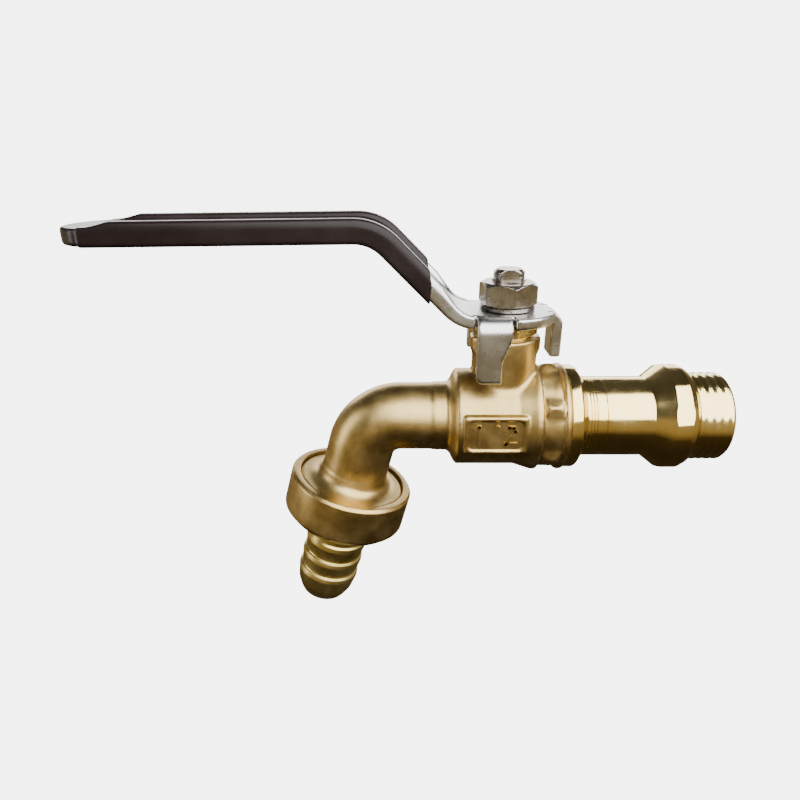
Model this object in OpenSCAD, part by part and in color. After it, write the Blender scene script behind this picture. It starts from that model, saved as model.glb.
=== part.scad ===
/* [Inlet tailpiece] */
// Outside diameter of the inlet thread (G 1/2)
thread_d = 20.955; // [19:0.005:22]
// Length of the inlet thread from its shoulder to its end
thread_len = 8; // [6:0.5:16]
// Lead-in chamfer at the end of the inlet thread
thread_chamfer = 1; // [0.4:0.1:1.4]
// Slope from the wrench collar down to the thread
collar_run_out = 2.7; // [2:0.1:3.5]
// Width of the flats on the wrench collar
collar_w = 3.4; // [2:0.1:6]
// Size of the octagonal wrench collar across its corners
collar_d = 25; // [23.5:0.1:28]
// Slope from the shank up to the wrench collar
collar_run_up = 3.8; // [2:0.1:5]
// Diameter of the polished shank
shank_d = 19; // [18:0.1:21]
// Length of the polished shank
shank_len = 14.8; // [8:0.1:30]
// Diameter of the shoulder that closes the body
shoulder_d = 24.5; // [22.5:0.1:26]
// Width of that shoulder
shoulder_w = 2.8; // [2:0.1:5]
// Slope from the shoulder down to the shank
shoulder_run_out = 1.6; // [1:0.1:3]
// Thickness of the fibre ring between the shoulder and the body
joint_t = 0.5; // [0.3:0.1:1]
// Waterway through the tailpiece
inlet_bore_d = 13; // [9:0.1:14]
// Wider mouth of the waterway at the thread end
mouth_d = 15.4; // [14.5:0.1:16.5]
// Depth of that mouth
mouth_depth = 5; // [2:0.5:7]
// Diameter of the screwed spigot inside the body
spigot_d = 20.4; // [19.5:0.1:21]

/* [Body casting] */
// Distance from the stem axis to the end face of the body
face_x = 14.2; // [13:0.1:18]
// Width of the wrench hexagon at that end
hex_w = 7.3; // [5:0.1:8]
// Size of the wrench hexagon across its corners
hex_d = 26.6; // [26:0.1:29]
// Diameter of the ball chamber
chamber_d = 23; // [22:0.1:25]
// Distance from the stem axis to the spout side of the chamber
chamber_x = 10.8; // [10.2:0.1:13]
// Length of the shoulder between chamber and spout
chamber_run_out = 2.1; // [1:0.1:3]
// Start of the swell that joins the chamber and the hexagon
swell_x = 2.7; // [1:0.1:4]
// Outside diameter of the spout tube
tube_d = 16.1; // [14.5:0.1:18]
// Waterway through the spout tube
tube_bore_d = 11.6; // [8:0.1:12]
// Distance from the stem axis to where the spout starts to bend
bend_x = 23.8; // [18:0.1:40]
// Radius of the spout's bend on its centre line
bend_r = 10; // [9.3:0.1:16]
// Lean of the outlet away from the vertical
outlet_tilt = 15; // [0:0.5:30]
// Straight run from the end of the bend to the outlet boss
outlet_run = 10.3; // [7:0.1:20]
// Diameter of the outlet boss (G 3/4)
boss_d = 26.2; // [25:0.1:27]
// Length of the outlet boss
boss_len = 5; // [4:0.1:10]
// Height of the flare above the outlet boss
flare_h = 3.2; // [2:0.1:5]
// Height of the raised panel on each side of the chamber
panel_h = 9.2; // [6:0.1:12]
// Width of the raised panel
panel_w = 14.2; // [8:0.1:15]
// How far the raised panel stands out from the chamber
panel_out = 0.3; // [0.1:0.05:0.6]
// Width of the raised frame on the panel
frame_w = 0.9; // [0.5:0.1:1.5]
// Height of the raised frame on the panel
frame_h = 0.35; // [0.2:0.05:0.6]

/* [Neck and stem packing] */
// Diameter of the neck
neck_d = 14.8; // [14:0.1:17]
// Height of the neck top above the pipe axis
neck_top = 20.2; // [18:0.1:24]
// Reach of the two lugs from the stem axis
lug_reach = 7.9; // [7.8:0.05:8.3]
// Width of a lug
lug_w = 4.4; // [3:0.1:6]
// How far the lugs stand above the neck
lug_rise = 1.8; // [1:0.1:2.2]
// How far the lugs run down the side of the neck
lug_drop = 3.8; // [2:0.1:6]
// Diameter of the stem in the packing
stem_d = 8; // [7:0.1:8.6]
// Diameter of the packing chamber
packing_d = 11.2; // [10.6:0.1:11.8]
// Height of one packing ring
packing_h = 1.7; // [1:0.1:1.9]
// Height of the gland ring
gland_h = 0.9; // [0.6:0.1:1.4]
// Height of the neck's inner step above the pipe axis
step_top = 13.6; // [13:0.1:14]
// Thickness of that step
step_t = 1.6; // [1.2:0.1:1.8]
// Diameter of the stem's foot
foot_d = 10.4; // [10:0.1:11]
// Height of the stem's foot
foot_h = 1.5; // [1:0.1:2]
// Thickness of the thrust washer under the neck's step
thrust_h = 0.8; // [0.5:0.1:1]
// Hexagon of the packing nut across its flats
packing_nut_af = 11; // [10.5:0.1:11.4]
// Height of the head of the packing nut
packing_nut_h = 2; // [1:0.1:2.4]

/* [Ball and seats] */
// Diameter of the ball
ball_d = 16.4; // [15.5:0.1:17]
// Waterway through the ball
ball_bore_d = 10; // [7:0.1:11]
// Diameter of the bore that holds ball and seats
ball_room_d = 18.8; // [18.2:0.1:19]
// Distance from the ball centre to the back of each seat
seat_back = 9; // [8.5:0.1:9.3]
// Width of the slot in the ball and of the stem's tang
tang_w = 3; // [2:0.1:4]
// Depth of the slot in the ball
slot_depth = 2.6; // [2:0.1:3]

/* [Lever] */
// Thickness of the lever's sheet steel
sheet = 2.4; // [1.8:0.1:3]
// Height of the top of the lever's head plate above the pipe axis
plate_top = 26.35; // [25.9:0.05:32]
// Cut beside each fold of the head plate
relief = 0.5; // [0.3:0.1:1]
// Radius of the lever's round head
head_r = 10.95; // [10:0.05:14]
// Width of the lever's arm
arm_w = 18.8; // [15:0.1:20]
// Distance from the stem axis to the tip of the lever
lever_reach = 95.4; // [70:0.1:140]
// Rise of the arm's underside above the head plate's underside
arm_rise = 18.5; // [14:0.1:30]
// Slope of the diagonal part of the arm
arm_slope = 45; // [35:1:60]
// Fall of the grip towards its tip
grip_fall = 0.7; // [0:0.1:3]
// Distance from the stem axis to the start of the lower bend
bend_start = 7.2; // [6.5:0.1:10]
// Outside radius of the lower bend
lower_r = 10.4; // [6:0.1:14]
// Inside radius of the upper bend
upper_r = 8.6; // [5:0.1:14]
// Height of the upturned rims above the web
rim_h = 1.3; // [0.6:0.1:3]
// Width of the upturned rims
rim_w = 2.4; // [1.6:0.1:3.5]
// Length of the rounded tip beyond the arm's corners
tip_round = 6; // [3:0.1:9]
// Distance from the arm's corners to the end of the rims
rim_gap = 1.6; // [0.5:0.1:4]
// Length of the ramp at the end of the rims
rim_ramp = 5; // [2:0.1:10]

/* [Lever ears] */
// Outside radius of the folds of the ears
fold_r = 3.4; // [2.8:0.1:4]
// Distance from the stem axis to the outside of each ear
ear_out = 11.2; // [10.9:0.05:13]
// Width of the ears at the fold
ear_w = 7.6; // [5:0.1:8]
// Width of the lower half of the front ear
ear_low_w = 5.6; // [4:0.1:7]
// Height of the front ear's lower end above the pipe axis
ear_end = 12; // [11.9:0.05:16]
// Height of the rear ear's lower end above the pipe axis
rear_ear_end = 14.4; // [13.8:0.1:18]
// Distance from the stem axis to the outside of the tail tab
tab_out = 12.2; // [11.8:0.05:14]
// Width of the tail tab
tab_w = 6.6; // [5:0.1:9]
// Height of the tail tab's lower end above the pipe axis
tab_end = 15.8; // [14.5:0.1:18]

/* [Handle nut] */
// Diameter of the stem's screwed end
stem_end_d = 7; // [6:0.1:7.2]
// Height of the stem's end above the pipe axis
stem_top = 35.3; // [34.5:0.1:42]
// Size across the flats of the stem's end
stem_flats = 5.4; // [4.5:0.1:5.8]
// Hexagon of the handle nut across its flats
nut_af = 11.6; // [10:0.1:13]
// Height of the handle nut
nut_h = 4.9; // [4:0.1:6]
// Turn of the nut's hexagon on the stem
nut_turn = 13; // [0:1:59]
// Thickness of the spring washer
spring_h = 1.2; // [0.8:0.1:1.6]
// Outside diameter of the spring washer
spring_d = 12.4; // [11:0.1:13]

/* [Grip sleeve] */
// Thickness of the dipped sleeve
dip_t = 0.6; // [0.4:0.1:1.2]
// Distance from the stem axis to the start of the sleeve
sleeve_u = 17.8; // [15.5:0.1:24]

/* [Hose union] */
// Outside diameter of the union nut
union_d = 30.4; // [29:0.1:34]
// How far the nut's rim stands above the outlet boss
rim_above = 0.6; // [0.2:0.1:1.5]
// Chamfer at the lower edge of the union nut
union_chamfer = 1.8; // [0.5:0.1:2.2]
// Thickness of the lip that holds the hose tail
lip_t = 2; // [1.4:0.1:3]
// Thickness of the hose washer
washer_t = 1.5; // [1:0.1:2.5]
// Thickness of the hose tail's flange
tail_flange_t = 2; // [1.4:0.1:3]
// Diameter of the hose tail's plain neck
tail_neck_d = 14.6; // [13:0.1:15]
// Length of the plain neck below the nut
tail_neck_len = 6; // [4:0.1:10]
// Number of barbs on the hose tail
barbs = 3; // [2:1:5]
// Distance from one barb to the next
barb_pitch = 4.8; // [3.5:0.1:6]
// Diameter over the barbs
barb_d = 15.6; // [15:0.1:17]
// Diameter between the barbs
barb_root_d = 13.6; // [12.5:0.1:14]
// Length of the tapered nose of the hose tail
nose_len = 3.2; // [2:0.1:6]
// Diameter of the hose tail's end
nose_d = 11.6; // [11.2:0.1:13]
// Waterway through the hose tail
tail_bore_d = 9; // [6:0.1:9.6]

/* [Clearances] */
// Gap at the side of a screwed or turning joint
fit_gap = 0.05; // [0.02:0.01:0.1]
// Gap between a part that swings past and what stays
swing_gap = 0.3; // [0.2:0.05:0.5]

/* [Hidden] */
$fn = 64;
far = 60;
brass = [0.62, 0.50, 0.30];
bright_brass = [0.80, 0.66, 0.36];
steel = [0.62, 0.61, 0.60];
dark_steel = [0.36, 0.34, 0.32];
plastic = [0.92, 0.92, 0.88];
rubber = [0.12, 0.12, 0.12];
vinyl = [0.13, 0.11, 0.11];

// Places along the pipe axis, from the thread's shoulder back to the spout
collar_x = collar_run_out + collar_w + collar_run_up;
shoulder_x = collar_x + shank_len + shoulder_run_out + shoulder_w;
stem_x = -(shoulder_x + joint_t + face_x);
thread_r = thread_d / 2;
shank_r = shank_d / 2;
collar_r = collar_d / 2;
shoulder_r = shoulder_d / 2;
spigot_r = spigot_d / 2;
spigot_len = face_x - seat_back;
inlet_bore_r = inlet_bore_d / 2;
mouth_r = mouth_d / 2;

// Body
hex_r = hex_d / 2;
hex_x = face_x - hex_w;
hex_neck_r = hex_r - 1.1;
end_ring_w = 1.1;
chamber_r = chamber_d / 2;
tube_r = tube_d / 2;
tube_bore_r = tube_bore_d / 2;
boss_r = boss_d / 2;
neck_r = neck_d / 2;
lug_inner = neck_r - 0.8;
cross_x = bend_x + bend_r * tan((90 - outlet_tilt) / 2);
boss_s = (cross_x - bend_x) + outlet_run;

// Ball and seats
ball_r = ball_d / 2;
ball_bore_r = ball_bore_d / 2;
slot_floor = ball_r - slot_depth;
room_r = ball_room_d / 2;
room_back = seat_back;
seat_bore_r = ball_bore_r + 0.6;
seat_w = seat_back - ball_r * 0.56;

// Stem and packing, as heights above the pipe axis
stem_r = stem_d / 2;
stem_end_r = stem_end_d / 2;
foot_r = foot_d / 2;
packing_r = packing_d / 2;
thrust_top = step_top - step_t;
foot_top = thrust_top - thrust_h;
foot_bottom = foot_top - foot_h;
stem_ring_w = 1;
stem_groove = 0.8;
stem_ring_z = (step_top + thrust_top - stem_ring_w) / 2;
packing_top = step_top + 2 * packing_h;
gland_top = packing_top + gland_h;
plate_under = plate_top - sheet;
nut_bottom = plate_top + spring_h;

// Lever outline, seen from the side: u runs from the stem towards the tip, z up from
// the underside of the head plate
arm_t = sheet + rim_h;
diag_u = bend_start + lower_r * sin(arm_slope);
diag_z = lower_r * (1 - cos(arm_slope));
crest_z = arm_rise - upper_r;
diag_h = crest_z + upper_r * cos(arm_slope) - diag_z;
crest_u = diag_u + diag_h / tan(arm_slope) + upper_r * sin(arm_slope);
arm_r = arm_w / 2;
tip_arc_r = (arm_r * arm_r + tip_round * tip_round) / (2 * tip_round);
corner_u = lever_reach - tip_round;
rim_end_u = corner_u - rim_gap;

// Hose union, as distances down the outlet axis
union_s = boss_s - rim_above;
boss_end = boss_s + boss_len;
washer_end = boss_end + washer_t;
flange_end = washer_end + tail_flange_t;
union_end = flange_end + lip_t;
union_h = union_end - union_s;
union_r = union_d / 2;
tail_neck_r = tail_neck_d / 2;
barb_r = barb_d / 2;
barb_root_r = barb_root_d / 2;
barb_s = union_end + tail_neck_len;
nose_s = barb_s + barbs * barb_pitch;
tail_end = nose_s + nose_len;
tail_bore_r = tail_bore_d / 2;

function arc(cx, cy, r, a0, a1, n) =
    [for (i = [0:n]) let (a = a0 + (a1 - a0) * i / n) [cx + r * cos(a), cy + r * sin(a)]];

function reversed(v) = [for (i = [len(v) - 1:-1:0]) v[i]];

// Height of a layer of the grip, a distance o above the arm's underside, at u
function grip_z(u, o) =
    crest_z + (upper_r + o) / cos(grip_fall) - (u - crest_u) * tan(grip_fall);

// The arm's lower bend in a layer that goes from o0 above the underside to o1
function lower_bend(o0, o1, n = 8) =
    [for (i = [0:n]) let (a = -90 + arm_slope * i / n, r = lower_r - o0 - (o1 - o0) * i / n)
        [bend_start + r * cos(a), lower_r + r * sin(a)]];

function upper_bend(o, n = 10) =
    arc(crest_u, crest_z, upper_r + o, 90 + arm_slope, 90 - grip_fall, n);

module along_x() {
    rotate([0, 90, 0]) children();
}

// A solid of revolution round the pipe axis from points [x, radius]
module turned(points) {
    rotate([0, 90, 0]) rotate_extrude() polygon([for (p = points) [p[1], p[0]]]);
}

module at_stem() {
    translate([stem_x, 0, 0]) children();
}

// Local +Z runs down the outlet axis, from where it crosses the pipe axis
module at_outlet() {
    translate([stem_x - cross_x, 0, 0]) rotate([0, 180 + outlet_tilt, 0]) children();
}

// A disc or ring from height z0 to z1
module ring(outer, inner, z0, z1) {
    translate([0, 0, z0]) difference() {
        cylinder(r = outer, h = z1 - z0);
        translate([0, 0, -1]) cylinder(r = inner, h = z1 - z0 + 2);
    }
}

module rod(r, z0, z1) {
    translate([0, 0, z0]) cylinder(r = r, h = z1 - z0);
}

module hex_prism(af, z0, z1) {
    translate([0, 0, z0]) cylinder(r = af / 2 / cos(30), h = z1 - z0, $fn = 6);
}

// Round bar with two flats, as on the end of the stem
module flatted(r, flats, z0, z1) {
    intersection() {
        rod(r, z0, z1);
        translate([-r, -flats / 2, z0]) cube([2 * r, flats, z1 - z0]);
    }
}

// Straight, bend and straight of the spout, of radius r, down to s_end on the outlet
// axis. A thinner core runs across each joint, so that the three make one solid.
module spout(r, s_end) {
    bend_s = cross_x - bend_x;
    core = 1;
    translate([-bend_x, 0, 0]) along_x() cylinder(r = r, h = bend_x);
    translate([-bend_x - core, 0, 0]) along_x() cylinder(r = r - core, h = 2 * core);
    translate([-bend_x, 0, -bend_r]) rotate([90, 0, 0]) rotate([0, 0, 90])
        rotate_extrude(angle = 90 - outlet_tilt) translate([bend_r, 0]) circle(r = r);
    translate([-cross_x, 0, 0]) rotate([0, 180 + outlet_tilt, 0]) {
        rod(r, bend_s, s_end);
        rod(r - core, bend_s - core, bend_s + core);
    }
}

// Raised flat panel with a frame on the side of the chamber
module side_panel() {
    face = chamber_r + panel_out;
    x0 = swell_x + 1.9 - panel_w;
    translate([x0, -face, -panel_h / 2]) cube([panel_w, face, panel_h]);
    difference() {
        translate([x0, -face - frame_h, -panel_h / 2]) cube([panel_w, face, panel_h - frame_w]);
        translate([x0 + frame_w, -face - 1, frame_w - panel_h / 2])
            cube([panel_w - 2 * frame_w, 1, panel_h - 3 * frame_w]);
    }
}

module body_outside() {
    neck_foot = chamber_r - 3;
    mid_x = (swell_x + hex_x) / 2;
    turned([[-chamber_x - chamber_run_out, 0], [-chamber_x - chamber_run_out, tube_r],
            [-chamber_x - 0.35 * chamber_run_out, chamber_r - 0.8], [-chamber_x, chamber_r],
            [swell_x, chamber_r], [mid_x, chamber_r + 0.5], [hex_x, hex_neck_r],
            [hex_x + hex_w, hex_neck_r], [hex_x + hex_w, 0]]);
    intersection() {
        translate([hex_x, 0, 0]) along_x() cylinder(r = hex_r, h = hex_w - end_ring_w, $fn = 6);
        turned([[hex_x, 0], [hex_x, hex_r - 1], [hex_x + 1, hex_r],
                [face_x - end_ring_w - 1.6, hex_r], [face_x - end_ring_w - 0.7, hex_r - 0.9],
                [face_x - end_ring_w - 0.7, 0]]);
    }
    turned([[face_x - end_ring_w, 0], [face_x - end_ring_w, hex_r - 0.5],
            [face_x - 0.4, hex_r - 0.5], [face_x, hex_r - 0.9], [face_x, 0]]);
    rod(neck_r, neck_foot, neck_top);
    lug_span = [2 * lug_reach, lug_w, lug_drop + lug_rise];
    intersection() {
        translate([-lug_reach, -lug_w / 2, neck_top - lug_drop]) cube(lug_span);
        rod(lug_reach, neck_foot, neck_top + lug_rise);
    }
    side_panel();
    mirror([0, 1, 0]) side_panel();
    spout(tube_r, boss_s);
    translate([-cross_x, 0, 0]) rotate([0, 180 + outlet_tilt, 0])
        translate([0, 0, boss_s - flare_h]) rotate_extrude()
            polygon(concat([[0, 0], [tube_r, 0]],
                           arc(tube_r + flare_h, 0, flare_h, 180, 90, 8),
                           [[boss_r - 0.5, flare_h], [boss_r, flare_h + 0.5],
                            [boss_r, flare_h + boss_len], [0, flare_h + boss_len]]));
}

module body_inside() {
    thread_start = face_x - spigot_len - 0.2;
    spout(tube_bore_r, far);
    translate([-room_back, 0, 0]) along_x() cylinder(r = room_r, h = room_back + thread_start);
    translate([thread_start, 0, 0]) along_x()
        cylinder(r = spigot_r + fit_gap, h = far);
    rod(foot_r + fit_gap, 0, thrust_top);
    rod(stem_r + fit_gap, 0, far);
    rod(packing_r, step_top, far);
    translate([0, 0, neck_top]) cylinder(r = lug_inner, h = far);
}

module body() {
    color(brass) at_stem() difference() {
        body_outside();
        body_inside();
    }
}

module tailpiece() {
    x0 = stem_x + seat_back;
    shoulder_end = -collar_x - shank_len - shoulder_run_out;
    color(bright_brass) difference() {
        union() {
            turned([[x0, 0], [x0, spigot_r], [-shoulder_x, spigot_r],
                    [-shoulder_x, shoulder_r - 0.4], [-shoulder_x + 0.4, shoulder_r],
                    [shoulder_end, shoulder_r], [shoulder_end + shoulder_run_out, shank_r],
                    [-collar_x, shank_r], [-collar_x, 0]]);
            intersection() {
                translate([-collar_x - 1, 0, 0]) along_x()
                    cylinder(r = collar_r, h = collar_x + 1, $fn = 8);
                turned([[-collar_x - 1, 0], [-collar_x - 1, shank_r - 1],
                        [-collar_x, shank_r], [-collar_run_out - collar_w, collar_r],
                        [-collar_run_out, collar_r], [0, thread_r - 0.2], [0, 0]]);
            }
            turned([[-1, 0], [-1, thread_r], [thread_len - thread_chamfer, thread_r],
                    [thread_len, thread_r - thread_chamfer], [thread_len, 0]]);
        }
        translate([-far, 0, 0]) along_x() cylinder(r = inlet_bore_r, h = 2 * far);
        translate([thread_len - mouth_depth, 0, 0]) along_x()
            cylinder(r = mouth_r, h = mouth_depth + 1);
    }
}

// Thin fibre ring between the body's end face and the tailpiece's shoulder
module joint_ring() {
    color(plastic) translate([-shoulder_x - joint_t, 0, 0]) along_x()
        ring(shoulder_r - 0.8, spigot_r + fit_gap, 0, joint_t);
}

// Ring that the ball turns against, with its back at seat_back on the side given
module seat() {
    difference() {
        translate([seat_back - seat_w, 0, 0]) along_x() ring(room_r - fit_gap, seat_bore_r, 0, seat_w);
        sphere(r = ball_r + fit_gap);
    }
}

module outlet_seat() {
    color(plastic) at_stem() mirror([1, 0, 0]) seat();
}

module inlet_seat() {
    color(plastic) at_stem() seat();
}

module ball() {
    color(steel) at_stem() difference() {
        sphere(r = ball_r);
        translate([-ball_d, 0, 0]) along_x() cylinder(r = ball_bore_r, h = 2 * ball_d);
        translate([-tang_w / 2, -ball_d, slot_floor]) cube([tang_w, 2 * ball_d, ball_d]);
    }
}

module stem() {
    tang = tang_w - 2 * fit_gap;
    tang_l = 2 * foot_r - 2;
    color(steel) at_stem() difference() {
        union() {
            rod(foot_r, foot_bottom, foot_top);
            rod(stem_r, foot_top - 1, plate_under);
            flatted(stem_end_r, stem_flats, plate_under - 1, stem_top - 0.7);
            translate([0, 0, stem_top - 0.7]) intersection() {
                cylinder(r1 = stem_end_r, r2 = stem_end_r - 0.7, h = 0.7);
                translate([-stem_end_r, -stem_flats / 2, 0]) cube([stem_end_d, stem_flats, 0.7]);
            }
            translate([-tang / 2, -tang_l / 2, slot_floor + 0.2])
                cube([tang, tang_l, foot_bottom - slot_floor]);
        }
        ring(far, stem_r - stem_groove, stem_ring_z, stem_ring_z + stem_ring_w);
    }
}

// Sealing ring in the stem's groove, inside the neck's narrow step
module stem_ring() {
    color(rubber) at_stem()
        ring(stem_r + fit_gap, stem_r - stem_groove, stem_ring_z, stem_ring_z + stem_ring_w);
}

module thrust_washer() {
    color(plastic) at_stem() ring(foot_r, stem_r + fit_gap, foot_top, thrust_top);
}

module lower_packing() {
    color(plastic) at_stem()
        ring(packing_r, stem_r + fit_gap, step_top, step_top + packing_h);
}

module upper_packing() {
    color(plastic) at_stem()
        ring(packing_r, stem_r + fit_gap, step_top + packing_h, packing_top);
}

module gland_ring() {
    color(brass) at_stem()
        ring(packing_r - fit_gap, stem_r + fit_gap, packing_top, gland_top);
}

module packing_nut() {
    color(brass) at_stem() difference() {
        union() {
            rod(packing_r - fit_gap, gland_top, neck_top + 0.5);
            intersection() {
                hex_prism(packing_nut_af, neck_top, neck_top + packing_nut_h);
                rod(packing_nut_af / 2 + 0.6, neck_top, neck_top + packing_nut_h);
            }
        }
        rod(stem_r + fit_gap, 0, far);
    }
}

// Plan outline of the lever's blank, grown by g, with the tip towards -X
module lever_plan(g) {
    linear_extrude(height = far) {
        circle(r = head_r + g);
        translate([-corner_u, -arm_r - g]) square([corner_u, arm_w + 2 * g]);
        intersection() {
            translate([-lever_reach - g, -arm_r - g]) square([lever_reach, arm_w + 2 * g]);
            translate([tip_arc_r - lever_reach, 0]) circle(r = tip_arc_r + g, $fn = 96);
        }
    }
}

// A layer of the arm as seen from the side, spanning y0 to y1
module side_layer(points, y0, y1) {
    translate([0, y1, plate_under]) rotate([90, 0, 0]) linear_extrude(height = y1 - y0)
        polygon([for (p = points) [-p[0], p[1]]]);
}

// Points of the web between two layers o0 and o1, from u0 on the plate to the tip
function web_points(u0, o0, o1, u1) =
    concat([[u0, o0]], lower_bend(o0, o0), upper_bend(o0), [[u1, grip_z(u1, o0)], [u1, grip_z(u1, o1)]],
           reversed(upper_bend(o1)), reversed(lower_bend(o1, o1)), [[u0, o1]]);

// Points of an upturned rim up to layer o1, its end at the tip moved on by g
function rim_points(o0, o1, g) =
    concat(lower_bend(o0, o0), upper_bend(o0),
           [[rim_end_u + g, grip_z(rim_end_u + g, o0)],
            [rim_end_u + g, grip_z(rim_end_u + g, o1 - rim_h)],
            [rim_end_u - rim_ramp, grip_z(rim_end_u - rim_ramp, o1)]],
           reversed(upper_bend(o1)), reversed(lower_bend(o1 - rim_h, o1)));

// The folded sheet of an ear, seen along the fold: out to reach, down to z_end
module fold(reach, z_end, w) {
    tangent = reach - fold_r;
    z_c = plate_top - fold_r;
    linear_extrude(height = w)
        polygon(concat([[tangent - 1, plate_under], [tangent - 1, plate_top]],
                       arc(tangent, z_c, fold_r, 90, 0, 6),
                       [[reach, z_end], [reach - sheet, z_end]],
                       arc(tangent, z_c, fold_r - sheet, 0, 90, 6)));
}

// An ear on the -Y side, its right edge at x = 0 and its left edge at x = -ear_w
module ear(z_end) {
    translate([-ear_w, 0, 0]) rotate([90, 0, 90]) mirror([1, 0, 0]) fold(ear_out, z_end, ear_w);
}

module front_ear_outline() {
    step_z = (plate_under + ear_end) / 2 - 1;
    rotate([90, 0, 0]) linear_extrude(height = far) {
        polygon([[0, plate_top + 1], [0, plate_under - 1.6], [-0.6, step_z + 3.6],
                 [ear_low_w - ear_w, step_z], [ear_low_w - ear_w, ear_end],
                 [1.2 - ear_w, ear_end], [0.4 - ear_w, ear_end + 0.4], [-ear_w, ear_end + 1.2],
                 [-ear_w, plate_top + 1]]);
    }
}

module lever() {
    rim_in = arm_r - rim_w;
    ear_tangent = ear_out - fold_r;
    tab_tangent = tab_out - fold_r;
    cut_h = sheet + 2;
    color(dark_steel) at_stem() difference() {
        union() {
            difference() {
                intersection() {
                    side_layer(web_points(-head_r - 1, 0, sheet, lever_reach + 1), -head_r, head_r);
                    lever_plan(0);
                }
                for (side = [-1, 1]) {
                    translate([-ear_w - relief, side * (ear_tangent + far / 2) - far / 2, plate_under - 1])
                        cube([ear_w + 2 * relief, far, cut_h]);
                }
                translate([tab_tangent, -tab_w / 2 - relief, plate_under - 1])
                    cube([far, tab_w + 2 * relief, cut_h]);
            }
            side_layer(rim_points(0, arm_t, 0), -arm_r, -rim_in);
            side_layer(rim_points(0, arm_t, 0), rim_in, arm_r);
            intersection() {
                ear(ear_end);
                front_ear_outline();
            }
            mirror([0, 1, 0]) ear(rear_ear_end);
            translate([0, tab_w / 2, 0]) rotate([90, 0, 0]) fold(tab_out, tab_end, tab_w);
        }
        flatted(stem_end_r + fit_gap, stem_flats + 2 * fit_gap, plate_under - 1, plate_top + 1);
    }
}

// Dipped sleeve: the arm's shape grown by its thickness, less the arm
module grip_sleeve() {
    rim_in = arm_r - rim_w;
    color(vinyl) at_stem() difference() {
        intersection() {
            union() {
                intersection() {
                    side_layer(web_points(bend_start, -dip_t, sheet + dip_t, lever_reach + 3),
                               -head_r - 2, head_r + 2);
                    lever_plan(dip_t);
                }
                side_layer(rim_points(-dip_t, arm_t + dip_t, dip_t), -arm_r - dip_t, dip_t - rim_in);
                side_layer(rim_points(-dip_t, arm_t + dip_t, dip_t), rim_in - dip_t, arm_r + dip_t);
            }
            translate([-sleeve_u - 3 * far, -far, 0]) cube([3 * far, 2 * far, 2 * far]);
        }
        intersection() {
            side_layer(web_points(0, 0, sheet, lever_reach + 1), -head_r, head_r);
            lever_plan(0);
        }
        side_layer(rim_points(0, arm_t, 0), -arm_r, -rim_in);
        side_layer(rim_points(0, arm_t, 0), rim_in, arm_r);
    }
}

// Split ring, its ends bent a little apart in height
module spring_washer() {
    color(steel) at_stem() difference() {
        ring(spring_d / 2, stem_end_r + fit_gap, plate_top, nut_bottom);
        rotate([0, 0, 115]) translate([0, -0.4, plate_top - 1]) cube([far, 0.8, spring_h + 2]);
    }
}

module handle_nut() {
    top = nut_bottom + nut_h;
    corner_r = nut_af / 2 / cos(30);
    color(steel) at_stem() difference() {
        intersection() {
            rotate([0, 0, nut_turn]) hex_prism(nut_af, nut_bottom, top);
            union() {
                rod(corner_r, nut_bottom, top - 0.8);
                translate([0, 0, top - 0.8])
                    cylinder(r1 = corner_r, r2 = nut_af / 2 - 0.2, h = 0.8);
            }
        }
        rod(stem_end_r + fit_gap, 0, far);
    }
}

module hose_washer() {
    color(rubber) at_outlet() ring(boss_r - 0.6, tail_bore_r + 0.3, boss_end, washer_end);
}

module hose_tail() {
    profile = concat(
        [[0, washer_end], [boss_r - 0.7, washer_end], [boss_r - 0.7, flange_end],
         [tail_neck_r, flange_end], [tail_neck_r, barb_s]],
        [for (i = [0:barbs - 1]) let (s = barb_s + i * barb_pitch)
            each [[barb_r, s + 0.2], [barb_r, s + 1.2], [barb_root_r, s + barb_pitch]]],
        [[nose_d / 2, tail_end], [0, tail_end]]);
    color(bright_brass) at_outlet() difference() {
        rotate_extrude() polygon(profile);
        rod(tail_bore_r, 0, 2 * far);
    }
}

module union_nut() {
    lip_r = barb_r + swing_gap;
    color(brass) at_outlet() difference() {
        translate([0, 0, union_s]) rotate_extrude()
            polygon([[0, 0], [union_r - 0.4, 0], [union_r, 0.4], [union_r, union_h - union_chamfer],
                     [union_r - union_chamfer, union_h], [0, union_h]]);
        rod(boss_r + fit_gap, 0, flange_end);
        rod(lip_r, 0, 2 * far);
    }
}

body();
tailpiece();
joint_ring();
outlet_seat();
inlet_seat();
ball();
stem();
stem_ring();
thrust_washer();
lower_packing();
upper_packing();
gland_ring();
packing_nut();
lever();
grip_sleeve();
spring_washer();
handle_nut();
hose_washer();
hose_tail();
union_nut();
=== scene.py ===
from math import cos, pi, radians, sin, sqrt, tan

import bmesh
import bpy
import numpy as np
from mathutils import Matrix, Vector


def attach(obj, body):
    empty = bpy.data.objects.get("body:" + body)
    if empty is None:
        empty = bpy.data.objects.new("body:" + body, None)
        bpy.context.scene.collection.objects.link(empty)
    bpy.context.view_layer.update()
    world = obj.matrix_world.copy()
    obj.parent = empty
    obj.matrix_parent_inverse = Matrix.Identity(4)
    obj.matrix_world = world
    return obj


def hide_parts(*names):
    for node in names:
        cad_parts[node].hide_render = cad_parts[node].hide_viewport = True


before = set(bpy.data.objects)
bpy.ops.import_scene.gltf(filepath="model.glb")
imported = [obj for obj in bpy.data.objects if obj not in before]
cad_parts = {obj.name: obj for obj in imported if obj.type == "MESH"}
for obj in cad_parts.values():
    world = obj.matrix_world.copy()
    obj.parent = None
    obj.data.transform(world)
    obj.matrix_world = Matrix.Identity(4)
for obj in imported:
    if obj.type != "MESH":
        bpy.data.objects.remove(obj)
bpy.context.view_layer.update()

# Sizes in millimetres, as in the part's source. X along the pipe, Z up the stem.
STEM_X = -43.8
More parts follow.
